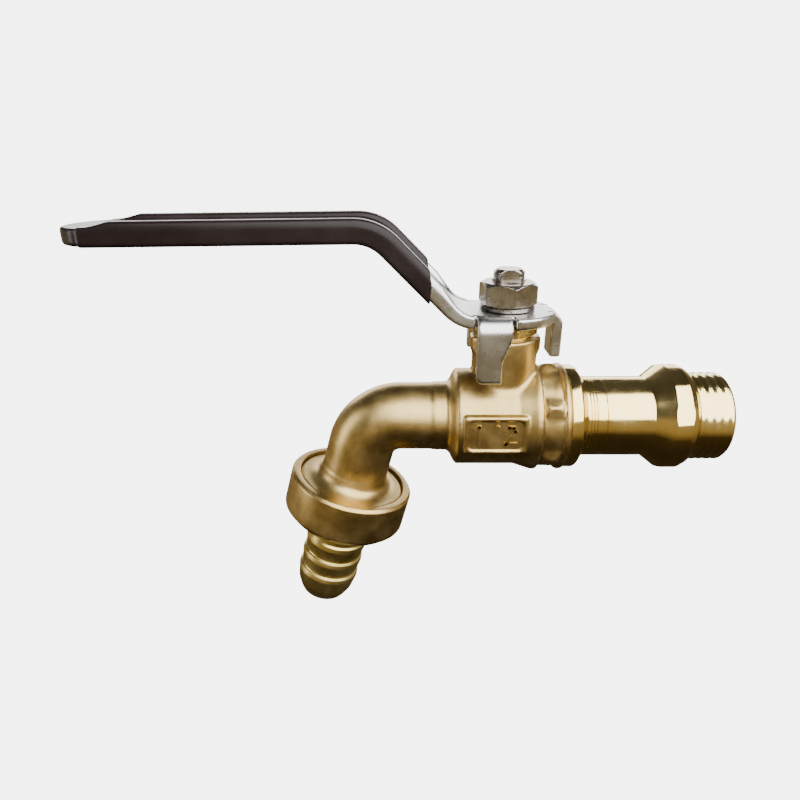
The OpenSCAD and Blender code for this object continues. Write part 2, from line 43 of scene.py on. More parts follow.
BEND_X, BEND_R, TILT = 23.8, 10.0, radians(15)
CROSS_X = BEND_X + BEND_R * tan((pi / 2 - TILT) / 2)
BEND_S = CROSS_X - BEND_X
BOSS_S = BEND_S + 10.3
BOSS_END = BOSS_S + 5.0
WASHER_END = BOSS_END + 1.5
FLANGE_END = WASHER_END + 2.0
UNION_S = BOSS_S - 0.6
UNION_END = FLANGE_END + 2.0
TUBE_R, TUBE_BORE_R = 8.05, 5.8
CHAMBER_R, CHAMBER_X, CHAMBER_RUN = 11.5, 10.8, 2.1
NECK_R, NECK_TOP = 7.4, 20.2
HEX_R, HEX_X, FACE_X = 13.3, 6.9, 14.2
PLATE_TOP, SHEET = 26.35, 2.4
PLATE_UNDER = PLATE_TOP - SHEET
OUT_DIR = np.array([-sin(TILT), 0.0, -cos(TILT)])
OUT_SIDE = np.array([-cos(TILT), 0.0, sin(TILT)])
CROSS = np.array([STEM_X - CROSS_X, 0.0, 0.0])


# ---------- meshes ----------
def mesh_object(name, verts, faces, body, slot, replaces=None, sharp=35):
    me = bpy.data.meshes.new(name)
    me.from_pydata((np.asarray(verts) * 0.001).tolist(), [], faces)
    me.update()
    ob = bpy.data.objects.new(name, me)
    bpy.context.scene.collection.objects.link(ob)
    clean(ob)
    me.polygons.foreach_set("use_smooth", [True] * len(me.polygons))
    if sharp:
        me.set_sharp_from_angle(angle=radians(sharp))
    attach(ob, body)
    if replaces:
        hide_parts(replaces)
    return ob


def clean(ob):
    bm = bmesh.new()
    bm.from_mesh(ob.data)
    bmesh.ops.remove_doubles(bm, verts=bm.verts, dist=1e-6)
    bmesh.ops.dissolve_degenerate(bm, edges=bm.edges, dist=1e-7)
    bmesh.ops.recalc_face_normals(bm, faces=bm.faces)
    bm.to_mesh(ob.data)
    bm.free()


def rounded(points, steps=4):
    """Closed profile of (a, r, fillet) points with its corners rounded."""
    out = []
    n = len(points)
    for i in range(n):
        p = np.array(points[i][:2], float)
        rad = points[i][2] if len(points[i]) > 2 else 0
        a = np.array(points[i - 1][:2], float) - p
        b = np.array(points[(i + 1) % n][:2], float) - p
        la, lb = np.hypot(*a), np.hypot(*b)
        if rad <= 0 or la < 1e-9 or lb < 1e-9:
            out.append(p)
            continue
        a, b = a / la, b / lb
        half = np.arccos(np.clip(a @ b, -1, 1)) / 2
        if abs(half - pi / 2) < 0.02:
            out.append(p)
            continue
        d = min(rad / tan(half), 0.45 * la, 0.45 * lb)
        rr = d * tan(half)
        c = p + (a + b) / np.hypot(*(a + b)) * rr / sin(half)
        t0, t1 = p + a * d - c, p + b * d - c
        ang0 = np.arctan2(t0[1], t0[0])
        ang = np.arctan2(t1[1], t1[0]) - ang0
        ang = (ang + pi) % (2 * pi) - pi
        for k in range(steps + 1):
            t = ang0 + ang * k / steps
            out.append(c + rr * np.array([cos(t), sin(t)]))
    return out


def dense(points, step, lo=None, hi=None):
    """Adds points so that no part between a = lo and a = hi is longer than step."""
    out = []
    n = len(points)
    for i in range(n):
        p, q = np.array(points[i][:2]), np.array(points[(i + 1) % n][:2])
        out.append(p)
        inside = lo is None or (max(p[0], q[0]) > lo and min(p[0], q[0]) < hi)
        k = int(np.hypot(*(q - p)) / step) if inside else 0
        for j in range(1, k + 1):
            out.append(p + (q - p) * j / (k + 1))
    return out


def on_pipe(a, x, y):
    return np.stack([a, y, x], -1)


def on_stem(a, x, y):
    return np.stack([STEM_X + x, y, a], -1)


def on_outlet(a, x, y):
    return CROSS + a[..., None] * OUT_DIR + x[..., None] * OUT_SIDE + y[..., None] * np.array([0.0, 1.0, 0.0])


def lathe(name, profile, place, body, slot, replaces=None, n=144, shape=None, sharp=35):
    pts = np.array([p[:2] for p in profile], float)
    th = np.arange(n) * 2 * pi / n
    a = np.repeat(pts[:, 0][:, None], n, 1)
    r = np.repeat(pts[:, 1][:, None], n, 1)
    t = np.repeat(th[None, :], len(pts), 0)
    if shape:
        r = shape(a, t, r)
    v = place(a, r * np.cos(t), r * np.sin(t)).reshape(-1, 3)
    m = len(pts)
    i = np.arange(m)[:, None]
    j = np.arange(n)[None, :]
    i2, j2 = (i + 1) % m, (j + 1) % n
    quads = np.stack([i * n + j, i2 * n + j, i2 * n + j2, i * n + j2], -1).reshape(-1, 4)
    return mesh_object(name, v, quads.tolist(), body, slot, replaces, sharp)


def facets(sides, r_corner, turn=0.0):
    """Radius of a regular prism at an angle, a corner at the angle turn."""
    flat = r_corner * cos(pi / sides)

    def radius(t):
        step = 2 * pi / sides
        return flat / np.cos((t - turn) % step - step / 2)
    return radius


def net(name, field, lo, hi, cell, body, slot, replaces=None, sharp=0):
    """Closed surface where field is 0, by surface nets, drawn on to the field itself."""
    lo, hi = np.array(lo, float), np.array(hi, float)
    dims = np.ceil((hi - lo) / cell).astype(int) + 1
    axes = [lo[k] + cell * np.arange(dims[k]) for k in range(3)]
    grid = np.meshgrid(*axes, indexing="ij")
    f = field(*grid)
    s = f < 0
    cells = dims - 1
    total = np.zeros(tuple(cells) + (3,))
    count = np.zeros(tuple(cells))
    quads = []
    index = np.arange(int(np.prod(cells))).reshape(cells)
    for k in range(3):
        cut_a = [slice(None)] * 3
        cut_b = [slice(None)] * 3
        cut_a[k], cut_b[k] = slice(0, -1), slice(1, None)
        cross = s[tuple(cut_a)] != s[tuple(cut_b)]
        at = np.argwhere(cross)
        o1, o2 = [(k + 1) % 3, (k + 2) % 3]
        ok = (at[:, o1] > 0) & (at[:, o2] > 0) & (at[:, o1] < cells[o1]) & (at[:, o2] < cells[o2])
        at = at[ok]
        end = at.copy()
        end[:, k] += 1
        fa, fb = f[tuple(at.T)], f[tuple(end.T)]
        pos = lo + cell * at.astype(float)
        pos[:, k] += cell * fa / (fa - fb)
        ids = []
        for d1, d2 in ((0, 0), (-1, 0), (-1, -1), (0, -1)):
            c = at.copy()
            c[:, o1] += d1
            c[:, o2] += d2
            np.add.at(total, tuple(c.T), pos)
            np.add.at(count, tuple(c.T), 1)
            ids.append(index[tuple(c.T)])
        q = np.stack(ids, -1)
        flip = fa > fb
        q[flip] = q[flip][:, ::-1]
        quads.append(q)
    used = count.reshape(-1) > 0
    v = total.reshape(-1, 3)[used] / count.reshape(-1)[used][:, None]
    new = np.cumsum(used) - 1
    quads = new[np.concatenate(quads)]
    h = 0.02
    for _ in range(3):
        x, y, z = v.T
        f0 = field(x, y, z)
        g = np.stack([field(x + h, y, z) - f0, field(x, y + h, z) - f0, field(x, y, z + h) - f0], -1) / h
        g2 = np.maximum((g * g).sum(-1), 0.2)
        step = g * (f0 / g2)[:, None]
        v = v - np.clip(step, -0.4 * cell, 0.4 * cell)
    return mesh_object(name, v, quads.tolist(), body, slot, replaces, sharp)


# ---------- distance fields ----------
def smin(a, b, k):
    h = np.maximum(k - np.abs(a - b), 0) / k
    return np.minimum(a, b) - h * h * k / 4


def smax(a, b, k):
    return -smin(-a, -b, k)


def polygon(px, py, pts):
    """Signed distance to a closed polygon."""
    pts = np.array(pts, float)
    d = np.full(px.shape, 1e9)
    inside = np.zeros(px.shape, bool)
    for (ax, ay), (bx, by) in zip(pts, np.roll(pts, -1, 0)):
        ex, ey = bx - ax, by - ay
        wx, wy = px - ax, py - ay
        t = np.clip((wx * ex + wy * ey) / max(ex * ex + ey * ey, 1e-12), 0, 1)
        d = np.minimum(d, (wx - ex * t) ** 2 + (wy - ey * t) ** 2)
        if ay != by:
            hit = (ay > py) != (by > py)
            inside ^= hit & (px < (bx - ax) * (py - ay) / (by - ay) + ax)
    d = np.sqrt(d)
    return np.where(inside, -d, d)


def box2(px, py, hx, hy, r):
    qx, qy = np.abs(px) - hx + r, np.abs(py) - hy + r
    return np.minimum(np.maximum(qx, qy), 0) + np.hypot(np.maximum(qx, 0), np.maximum(qy, 0)) - r


def outlet_coords(x, y, z):
    s = (x + CROSS_X) * OUT_DIR[0] + z * OUT_DIR[2]
    w = (x + CROSS_X) * OUT_SIDE[0] + z * OUT_SIDE[2]
    return s, np.hypot(w, y)


def spout_line(x, y, z, s_end):
    """Distance to the spout's centre line, with x from the stem."""
    rho = np.hypot(y, z)
    d = np.where((x <= 0) & (x >= -BEND_X), rho, np.where(x > 0, np.hypot(x, rho), 1e9))
    u, w = -(x + BEND_X), z + BEND_R
    ang = np.arctan2(u, w)
    arc = np.hypot(np.hypot(u, w) - BEND_R, y)
    d = np.minimum(d, np.where((ang >= 0) & (ang <= pi / 2 - TILT), arc, 1e9))
    s, q = outlet_coords(x, y, z)
    over = np.maximum(s - s_end, 0)
    return np.minimum(d, np.where(s >= BEND_S, np.hypot(q, over), 1e9))


def hexagon(y, z, r_corner):
    """Hexagon with corners up and down."""
    flat = r_corner * cos(pi / 6)
    a = np.abs(y)
    b = np.abs(y * 0.5) + np.abs(z) * sqrt(3) / 2
    return smax(a, b, 0.25) - flat


def body_field(X, Y, Z):
    x = X - STEM_X
    rho = np.hypot(Y, Z)
    d = polygon(x, rho, [
        (-CHAMBER_X - CHAMBER_RUN - 3, -1), (-CHAMBER_X - CHAMBER_RUN - 3, TUBE_R - 0.4),
        (-CHAMBER_X - CHAMBER_RUN, TUBE_R - 0.3), (-CHAMBER_X - 0.35 * CHAMBER_RUN, CHAMBER_R - 0.9),
        (-CHAMBER_X, CHAMBER_R), (2.7, CHAMBER_R), (5.2, CHAMBER_R + 0.75), (HEX_X - 0.1, 12.8),
        (HEX_X + 0.95, 12.8), (HEX_X + 1.1, 12.0), (FACE_X - 1.9, 12.0), (FACE_X - 1.9, -1)])
    d = smin(d, spout_line(x, Y, Z, BOSS_S) - TUBE_R, 1.4)
    hexa = smax(hexagon(Y, Z, HEX_R), np.abs(x - 10.45) - 2.1, 0.5)
    hexa = smax(hexa, rho + 0.45 * np.abs(x - 10.45) - HEX_R - 0.35, 0.4)
    d = smin(d, hexa, 0.25)
    ring = np.maximum(rho - 12.75, np.abs(x - 13.45) - 0.75)
    d = smin(d, smax(ring, rho + np.abs(x - 13.45) - 13.2, 0.3), 0.25)
    d = smin(d, np.maximum(rho - 12.0, np.abs(x - 12.5) - 1.6), 0.2)
    q = np.hypot(x, Y)
    neck = smax(q - NECK_R, Z - NECK_TOP, 0.5)
    neck = np.maximum(neck, 6 - Z)
    bulge = smax(q - 8.0, np.abs(Y) - 2.6, 0.8)
    bulge = smax(bulge, Z - NECK_TOP, 0.6)
    bulge = smax(bulge, 0.5 * (16.2 - Z) + 0.75 * (q - 7.4), 0.4)
    neck = smin(neck, bulge, 0.5)
    d = smin(d, neck, 1.1)
    s, w = outlet_coords(x, Y, Z)
    flare = polygon(w, s, [(-1, BOSS_S - 3.2), (TUBE_R, BOSS_S - 3.2)]
                    + [(TUBE_R + 3.2 + 3.2 * cos(t), BOSS_S - 3.2 + 3.2 * sin(t))
                       for t in np.linspace(pi, pi / 2, 9)]
                    + [(12.6, BOSS_S), (13.1, BOSS_S + 0.5), (13.1, BOSS_END), (-1, BOSS_END)])
    d = smin(d, flare, 0.6)
    pad = np.maximum(box2(x + 2.55, Z, 7.1, 4.6, 0.5), np.abs(Y) - 12.0)
    d = smin(d, smax(pad, 0.5 * (np.abs(Z) + np.abs(Y)) - 8.1, 0.2), 0.3)
    front = smax(box2(x + 2.55, Z, 6.15, 3.6, 1.1), 11.65 - np.abs(Y), 0.15)
    d = smax(d, -front, 0.2)
    inner = np.minimum(spout_line(x, Y, Z, BOSS_END + 9) - TUBE_BORE_R,
                       np.maximum(rho - 9.4, np.abs(x) - 9))
    inner = np.minimum(inner, np.maximum(rho - 10.25, 8.8 - x))
    inner = np.minimum(inner, np.maximum(q - 5.25, np.abs(Z - 6) - 6))
    inner = np.minimum(inner, np.maximum(q - 4.05, -Z))
    inner = np.minimum(inner, np.maximum(q - 5.6, 13.6 - Z))
    return smax(d, -inner, 0.15)


net("tap_body", body_field, (STEM_X - 51, -14, -27), (STEM_X + 15.2, 14, 22), 0.38, "valve", "cast_brass", "body")

# ---------- numerals in the side panel ----------
def stroke_sheet(name, strokes, width, y_face, y_back, x0, z0, body, slot):
    """Raised bars along the strokes, in the side panel's plane."""
    verts, faces = [], []
    for (ax, az), (bx, bz) in strokes:
        d = np.array([bx - ax, bz - az], float)
        d /= np.hypot(*d)
        nrm = np.array([-d[1], d[0]])
        for side, y, grow in ((0, y_back, 0.14), (1, y_face, 0.0)):
            w = width / 2 + grow
            for sx, sn in ((-1, -1), (1, -1), (1, 1), (-1, 1)):
                p = np.array([ax, az]) if sx < 0 else np.array([bx, bz])
                p = p + sx * d * (w * 0.8) + sn * nrm * w
                verts.append((x0 + p[0], y, z0 + p[1]))
        b = len(verts) - 8
        faces += [[b, b + 1, b + 2, b + 3], [b + 7, b + 6, b + 5, b + 4]]
        faces += [[b + i, b + (i + 1) % 4, b + 4 + (i + 1) % 4, b + 4 + i] for i in range(4)]
    return mesh_object(name, verts, faces, body, slot, sharp=20)


figures = [((0.0, -2.2), (0.0, 2.2)), ((0.0, 2.2), (-0.8, 1.5)),
           ((2.5, -2.2), (4.1, 2.2)),
           ((6.0, 1.4), (6.7, 2.1)), ((6.7, 2.1), (7.7, 2.0)), ((7.7, 2.0), (8.1, 1.1)), ((8.1, 1.1), (6.0, -2.0)),
           ((6.0, -2.0), (8.3, -2.0))]
stroke_sheet("panel_numerals", figures, 0.75, -12.0, -11.55, STEM_X - 6.4, 0, "valve", "cast_brass")

# ---------- inlet tailpiece ----------
oct_r = facets(8, 12.28 / cos(pi / 8), pi / 2)
PITCH = 25.4 / 14


def tail_shape(a, t, r):
    outer = r > 9.0
    on_collar = (a > -10.2) & (a < -0.05) & outer
    r = np.where(on_collar, np.minimum(r, oct_r(t)), r)
    on_thread = (a > 0.0) & (a < 7.6) & (r > 9.6)
    wave = np.abs(((a / PITCH - t / (2 * pi)) % 1.0) - 0.5) * 2
    fade = np.clip(a / 0.9, 0, 1) * np.clip((7.7 - a) / 0.6, 0, 1)
    return np.where(on_thread, r - 0.13 * wave * fade, r)


turning_marks = []
for x in (-20.6, -22.9, -23.6, -24.3):
    turning_marks += [(x, 9.5), (x - 0.12, 9.38), (x - 0.24, 9.5)]
profile = [(8.0, 7.7, 0.2), (8.0, 9.9, 0.35), (7.3, 10.42, 0.2), (0.0, 10.42), (-0.15, 10.5, 0.2), (-0.5, 11.0, 0.3),
           (-1.3, 11.7, 0.3), (-2.7, 12.45, 0.3), (-6.1, 12.5, 0.4), (-9.9, 9.5, 0.6)]
profile += turning_marks
profile += [(-25.2, 9.5, 0.3), (-26.8, 12.0, 0.3), (-27.2, 12.25, 0.2), (-29.4, 12.25, 0.3), (-29.6, 11.9, 0.0),
            (-29.6, 10.2), (-34.8, 10.2, 0.3), (-34.8, 6.5), (3.0, 6.5), (3.0, 7.7)]
profile = dense(dense(rounded(profile), 0.16, -10.3, 0.0), 0.09, 0.0, 7.9)
lathe("inlet_tailpiece", profile, on_pipe, "valve", "bright_brass", "tailpiece", n=192, shape=tail_shape, sharp=28)

# ---------- hose union ----------
profile = rounded([(UNION_S, 13.15, 0.25), (UNION_S, 14.6, 0.3), (UNION_S + 0.7, 15.19, 0.5),
                   (UNION_END - 1.8, 15.19, 0.8), (UNION_END, 13.5, 0.5), (UNION_END, 8.1, 0.25),
                   (FLANGE_END, 8.1, 0.1), (FLANGE_END, 13.15, 0.1)])
lathe("union_nut_visual", profile, on_outlet, "coupling_nut", "cast_brass", "union_nut", n=144)

BARB = UNION_END + 6.0
profile = [(WASHER_END, 4.5), (WASHER_END, 12.4, 0.2), (FLANGE_END, 12.4, 0.2), (FLANGE_END, 7.3, 0.3), (BARB - 0.5, 7.3, 0.3)]
for k in range(3):
    s = BARB + 4.8 * k
    profile += [(s, 7.7, 0.25), (s + 1.2, 7.8, 0.35), (s + 4.6, 7.2, 0.3)]
TAIL_END = BARB + 3 * 4.8 + 3.2
profile += [(BARB + 14.4, 7.15), (TAIL_END - 0.9, 6.1, 0.8), (TAIL_END, 5.5, 0.3), (TAIL_END, 4.5, 0.2)]
lathe("hose_tail_visual", rounded(profile), on_outlet, "tail", "bright_brass", "hose_tail", n=144)

# ---------- lever ----------
BEND_START, LOWER_R, UPPER_R, RISE, SLOPE, FALL = 7.2, 10.4, 8.6, 18.5, radians(45), radians(0.7)
HEAD_R, ARM_R, REACH, TIP_ROUND = 10.95, 9.4, 95.38, 6.0
RIM_H, RIM_W, RIM_GAP, RIM_RAMP, DIP, SLEEVE_U = 1.3, 2.4, 1.6, 5.0, 0.6, 17.8
DIAG_U = BEND_START + LOWER_R * sin(SLOPE)
DIAG_Z = LOWER_R * (1 - cos(SLOPE))
CREST_Z = RISE - UPPER_R
DIAG_H = CREST_Z + UPPER_R * cos(SLOPE) - DIAG_Z
CREST_U = DIAG_U + DIAG_H / tan(SLOPE) + UPPER_R * sin(SLOPE)
CORNER_U = REACH - TIP_ROUND
TIP_R = (ARM_R ** 2 + TIP_ROUND ** 2) / (2 * TIP_ROUND)
RIM_END = CORNER_U - RIM_GAP


def grip_z(u, o):
    return CREST_Z + (UPPER_R + o) / cos(FALL) - (u - CREST_U) * tan(FALL)


def centre_line(n=12):
    """Points and upward normals of the arm's underside, seen from the side."""
    pts = [(-HEAD_R - 2, 0.0, 0.0, 1.0), (BEND_START, 0.0, 0.0, 1.0)]
    for k in range(1, n + 1):
        a = SLOPE * k / n
        pts.append((BEND_START + LOWER_R * sin(a), LOWER_R * (1 - cos(a)), -sin(a), cos(a)))
    for k in range(n + 1):
        a = SLOPE - (SLOPE + FALL) * k / n
        pts.append((CREST_U - UPPER_R * sin(a), CREST_Z + UPPER_R * cos(a), -sin(a), cos(a)))
    pts.append((REACH + 6, grip_z(REACH + 6, 0), sin(FALL), cos(FALL)))
    return pts


def arm_coords(u, h):
    """Length along the arm's underside and height above it."""
    line = centre_line()
    best = np.full(u.shape, 1e9)
    along = np.zeros(u.shape)
    above = np.zeros(u.shape)
    run = 0.0
    for (ax, ay, *_), (bx, by, *_) in zip(line, line[1:]):
        ex, ey = bx - ax, by - ay
        length = sqrt(ex * ex + ey * ey)
        wx, wy = u - ax, h - ay
        t = np.clip((wx * ex + wy * ey) / length ** 2, 0, 1)
        dx, dy = wx - ex * t, wy - ey * t
        d = dx * dx + dy * dy
        sgn = np.sign(ex * wy - ey * wx)
        near = d < best
        best = np.where(near, d, best)
        along = np.where(near, run + length * t, along)
        above = np.where(near, np.sqrt(d) * sgn, above)
        run += length
    return along, above


RUN0 = HEAD_R + 2


def arm_field(X, Y, Z, grow, rim_start):
    """The arm with its rims, grown by grow, as a rounded strip."""
    u, h = STEM_X - X, Z - PLATE_UNDER
    along, above = arm_coords(u, h)
    flat = polygon_tip(u, Y, grow)
    mid = SHEET / 2
    web = smax(np.abs(above - mid) - mid - grow, flat, 0.5 + 0.6 * grow)
    ramp = np.clip((RIM_END - u) / RIM_RAMP, 0, 1)
    start = np.clip((along - RUN0 - BEND_START - rim_start) / 9.0, 0, 1)
    height = SHEET + RIM_H * np.minimum(ramp, start)
    rim = smax(np.abs(above - height / 2) - height / 2 - grow, np.abs(Y) - ARM_R - grow, 0.8 + 0.5 * grow)
    rim = smax(rim, ARM_R - RIM_W - grow - np.abs(Y), 0.9 + 0.5 * grow)
    rim = np.maximum(rim, np.maximum(u - RIM_END - 1, 8.0 - u))
    return smin(web, rim, 0.9)


def polygon_tip(u, y, grow):
    arm = np.abs(y) - ARM_R - grow
    tip = np.hypot(np.maximum(u - (REACH - TIP_R), 0), y) - TIP_R - grow
    tip = np.where(u > REACH - TIP_R, tip, -1e3 + 0 * u)
    return smax(arm, tip, 0.8)


EAR_OUT, FOLD_R, EAR_W = 11.2, 3.4, 7.6


def ear_field(x, y, z, reach, z_end):
    """Folded sheet in the plane across the fold: y outwards."""
    tangent, zc = reach - FOLD_R, PLATE_TOP - FOLD_R
    corner = np.abs(np.hypot(y - tangent, z - zc) - (FOLD_R - SHEET / 2)) - SHEET / 2
    flat = np.maximum(np.abs(z - (PLATE_TOP - SHEET / 2)) - SHEET / 2, tangent - 2 - y)
    down = smax(np.abs(y - (reach - SHEET / 2)) - SHEET / 2, z_end - z, 0.4)
    d = np.where((y > tangent) & (z > zc), corner, np.where(z <= zc, down, flat))
    return d


def lever_field(X, Y, Z):
    x, u = X - STEM_X, STEM_X - X
    mid = PLATE_UNDER + SHEET / 2
    head = smax(np.hypot(x, Y) - HEAD_R, np.abs(Z - mid) - SHEET / 2, 0.45)
    cut = np.maximum(np.abs(x + EAR_W / 2) - EAR_W / 2 - 0.5, EAR_OUT - FOLD_R - np.abs(Y))
    head = smax(head, -cut, 0.3)
    cut = np.maximum(np.abs(Y) - 3.3 - 0.5, 12.2 - FOLD_R - x)
    head = smax(head, -cut, 0.3)
    arm = arm_field(X, Y, Z, 0.0, 4.0)
    arm = np.maximum(arm, 5.5 - u)
    arm = smax(arm, -np.maximum(u - 8.2, 7.6 - np.abs(Y)), 0.3)
    d = smin(head, arm, 0.5)
    ear = ear_field(x, -Y, Z, EAR_OUT, 12.0)
    step_z = (PLATE_UNDER + 12.0) / 2 - 1
    outline = polygon(x, Z, [(0, PLATE_TOP + 1), (0, PLATE_UNDER - 1.6), (-0.6, step_z + 3.6), (-2.0, step_z),
                             (-2.0, 11.9), (-6.4, 11.9), (-7.2, 12.4), (-7.6, 13.2), (-7.6, PLATE_TOP + 1)])
    d = np.minimum(d, smax(ear, outline, 0.4))
    ear = ear_field(x, Y, Z, EAR_OUT, 14.4)
    d = np.minimum(d, smax(ear, np.abs(x + EAR_W / 2) - EAR_W / 2, 0.4))
    tab = ear_field(Y, x, Z, 12.2, 15.8)
    d = np.minimum(d, smax(tab, np.abs(Y) - 3.3, 0.4))
    hole = np.maximum(np.hypot(x, Y) - 3.55, np.abs(Y) - 2.75)
    return smax(d, -hole, 0.2)


net("lever_steel", lever_field, (STEM_X - 97, -12.5, 10.5), (STEM_X + 13.2, 12.5, 49), 0.42, "handle", "bare_steel", "lever")


def sleeve_field(X, Y, Z):
    d = arm_field(X, Y, Z, DIP, -6.0)
    u = STEM_X - X
    lip = SLEEVE_U + 0.25 * np.sin(Y * 0.7) + 0.12 * np.sin(Y * 2.3 + Z)
    return smax(d, lip - u, 0.5)


net("grip_dip", sleeve_field, (STEM_X - 98, -11, 26), (STEM_X - 16.5, 11, 49), 0.4, "handle", "dipped_vinyl", "grip_sleeve")

# ---------- nuts, stem end and spring washer ----------
NUT_BOTTOM = PLATE_TOP + 1.2
NUT_TOP = NUT_BOTTOM + 4.9


def nut_shape(radius):
    def shape(a, t, r):
        edge = np.minimum(radius(t), r)
        return np.where(r > 3.6, edge, r)
    return shape


corner = 5.8 / cos(pi / 6)
profile = rounded([(NUT_BOTTOM, 3.55, 0.1), (NUT_BOTTOM, 5.9, 0.1), (NUT_BOTTOM + 0.45, corner, 0.15),
                   (NUT_TOP - 0.8, corner, 0.2), (NUT_TOP, 5.55, 0.2), (NUT_TOP, 4.1, 0.1), (NUT_TOP - 0.45, 3.55)])
profile = dense(profile, 0.12, NUT_BOTTOM - 1, NUT_TOP + 1)
lathe("lever_nut", profile, on_stem, "handle", "bare_steel", "handle_nut", n=240,
      shape=nut_shape(facets(6, corner, radians(-83))), sharp=30)

END = 35.3


def stem_shape(a, t, r):
    top = a > PLATE_UNDER + 0.01
    c = np.abs(np.sin(t))
    flat = np.where(c > 1e-6, 2.7 / np.maximum(c, 1e-6), 99)
    wave = np.abs(((a / 1.0 - t / (2 * pi)) % 1.0) - 0.5) * 2
    cut = np.where((a > NUT_TOP - 0.8) & (a < END - 0.7) & (r > 3.3), 0.16 * wave, 0)
    return np.where(top, np.minimum(r - cut, flat), r)


profile = rounded([(5.9, 0.0), (5.9, 2.0), (9.7, 2.0), (9.7, 5.2, 0.1), (11.2, 5.2, 0.1), (11.2, 4.0), (12.3, 4.0), (12.3, 3.2), (13.3, 3.2), (13.3, 4.0),
                   (PLATE_UNDER, 4.0, 0.1), (PLATE_UNDER, 3.5), (END - 0.7, 3.5, 0.15), (END, 2.8, 0.2), (END, 0.0)])
profile = dense(profile, 0.1, PLATE_UNDER, END + 1)
lathe("stem_visual", profile, on_stem, "handle", "bare_steel", "stem", n=120, shape=stem_shape, sharp=30)


def spring_points():
    gap = radians(8)
    start = radians(115)
    n = 96
    verts, faces = [], []
    for i in range(n + 1):
        t = start + gap / 2 + (2 * pi - gap) * i / n
        lift = 0.16 * (i / n - 0.5)
        for r, z in ((3.7, 0.1), (6.1, 0.1), (6.2, 0.2), (6.2, 1.0), (6.1, 1.1), (3.7, 1.1)):
            verts.append((STEM_X + r * cos(t), r * sin(t), PLATE_TOP + z * 0.84 + 0.1 + lift))
    for i in range(n):
        for k in range(6):
            faces.append([i * 6 + k, i * 6 + (k + 1) % 6, i * 6 + 6 + (k + 1) % 6, i * 6 + 6 + k])
    faces += [list(range(5, -1, -1)), list(range(n * 6, n * 6 + 6))]
    return verts, faces


mesh_object("split_washer", *spring_points(), "handle", "bare_steel", "spring_washer", sharp=30)

packing_corner = 6.2 / cos(pi / 6)
profile = rounded([(17.9, 4.05, 0.1), (17.9, 5.55, 0.1), (NECK_TOP, 5.55), (NECK_TOP, 5.9, 0.1), (NECK_TOP + 0.6, 5.9, 0.1),
                   (NECK_TOP + 0.6, 6.4, 0.1), (NECK_TOP + 0.95, packing_corner, 0.15), (NECK_TOP + 2.5, packing_corner, 0.2), (NECK_TOP + 3.0, 6.2, 0.2), (NECK_TOP + 3.0, 4.05, 0.2)])
profile = dense(profile, 0.12, NECK_TOP - 0.1, NECK_TOP + 4)
lathe("packing_nut_visual", profile, on_stem, "valve", "bright_brass", "packing_nut", n=240,
      shape=nut_shape(facets(6, packing_corner, radians(-76.6))), sharp=30)


# ---------- materials ----------
def material(name, metallic, rough, colors, bump=0.0, bump_scale=3000.0, rough_var=0.06, noise_scale=90.0,
             lines=None, coat=0.0, spec=0.5, stretch=(1, 1, 1)):
    m = bpy.data.materials.new(name)
    m.use_nodes = True
    nt = m.node_tree
    b = nt.nodes["Principled BSDF"]
    b.inputs["Metallic"].default_value = metallic
    b.inputs["Specular IOR Level"].default_value = spec
    if coat:
        b.inputs["Coat Weight"].default_value = coat
        b.inputs["Coat Roughness"].default_value = 0.25
    co = nt.nodes.new("ShaderNodeTexCoord")
    mp = nt.nodes.new("ShaderNodeMapping")
    mp.inputs["Scale"].default_value = stretch
    nt.links.new(co.outputs["Object"], mp.inputs["Vector"])
    no = nt.nodes.new("ShaderNodeTexNoise")
    no.inputs["Scale"].default_value = noise_scale
    no.inputs["Detail"].default_value = 5
    no.inputs["Roughness"].default_value = 0.62
    nt.links.new(mp.outputs["Vector"], no.inputs["Vector"])
    cr = nt.nodes.new("ShaderNodeValToRGB")
    els = cr.color_ramp.elements
    els[0].position, els[1].position = 0.32, 0.70
    els[0].color = (*colors[0], 1)
    els[1].color = (*colors[-1], 1)
    if len(colors) == 3:
        e = els.new(0.5)
        e.color = (*colors[1], 1)
    nt.links.new(no.outputs["Fac"], cr.inputs["Fac"])
    nt.links.new(cr.outputs["Color"], b.inputs["Base Color"])
    fine = nt.nodes.new("ShaderNodeTexNoise")
    fine.inputs["Scale"].default_value = bump_scale
    fine.inputs["Detail"].default_value = 3
    nt.links.new(mp.outputs["Vector"], fine.inputs["Vector"])
    rr = nt.nodes.new("ShaderNodeMapRange")
    rr.inputs["From Min"].default_value, rr.inputs["From Max"].default_value = 0.3, 0.7
    rr.inputs["To Min"].default_value = rough - rough_var
    rr.inputs["To Max"].default_value = rough + rough_var
    nt.links.new(no.outputs["Fac"], rr.inputs["Value"])
    nt.links.new(rr.outputs["Result"], b.inputs["Roughness"])
    height = fine.outputs["Fac"]
    if lines:
        axis, scale, weight = lines
        wv = nt.nodes.new("ShaderNodeTexWave")
        wv.bands_direction = axis
        wv.inputs["Scale"].default_value = scale
        wv.inputs["Distortion"].default_value = 0.6
        wv.inputs["Detail"].default_value = 2
        nt.links.new(co.outputs["Object"], wv.inputs["Vector"])
        mx = nt.nodes.new("ShaderNodeMix")
        mx.inputs["Factor"].default_value = weight
        nt.links.new(fine.outputs["Fac"], mx.inputs["A"])
        nt.links.new(wv.outputs["Fac"], mx.inputs["B"])
        height = mx.outputs["Result"]
    if bump:
        bp = nt.nodes.new("ShaderNodeBump")
        bp.inputs["Strength"].default_value = 1.0
        bp.inputs["Distance"].default_value = bump * 0.001
        nt.links.new(height, bp.inputs["Height"])
        nt.links.new(bp.outputs["Normal"], b.inputs["Normal"])
    return m


